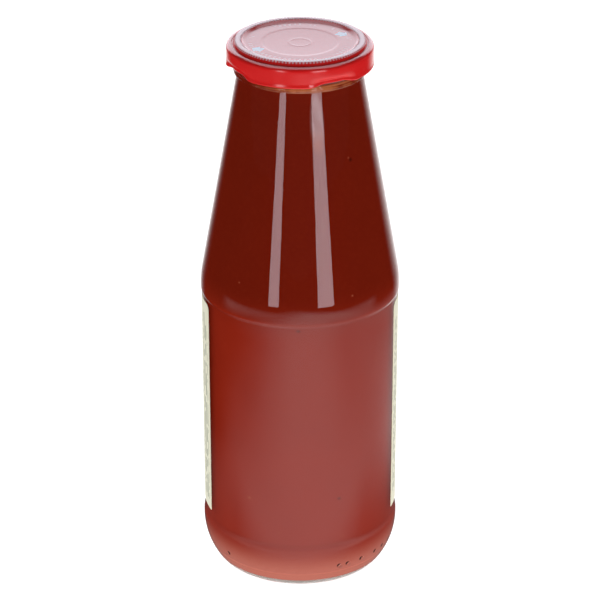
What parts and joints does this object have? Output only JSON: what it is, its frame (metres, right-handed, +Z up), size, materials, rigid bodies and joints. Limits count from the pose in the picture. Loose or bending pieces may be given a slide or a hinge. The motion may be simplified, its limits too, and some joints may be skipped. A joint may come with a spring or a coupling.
{
  "type": "passata bottle",
  "caption": "Clear glass bottle with a long conical neck, filled with tomato passata, shut with a red lug lid and wrapped in a paper label round the back.",
  "frame": {"origin": "centre of the base, on the surface that the bottle stands on", "axes": "+Z up along the bottle's axis; the bare glass between the label's ends faces -Y"},
  "size_m": [0.077, 0.077, 0.2175],
  "materials": {
    "glass": "clear, glossy, with a very faint green tint",
    "passata": "smooth, moist, brick-red tomato puree",
    "lid": "glossy red lacquer on tinplate",
    "label": "uncoated cream paper"
  },
  "bodies": {
    "root": {"bottle": "glass", "passata": "passata", "lid": "lid", "label": "label"}
  },
  "joints": []
}
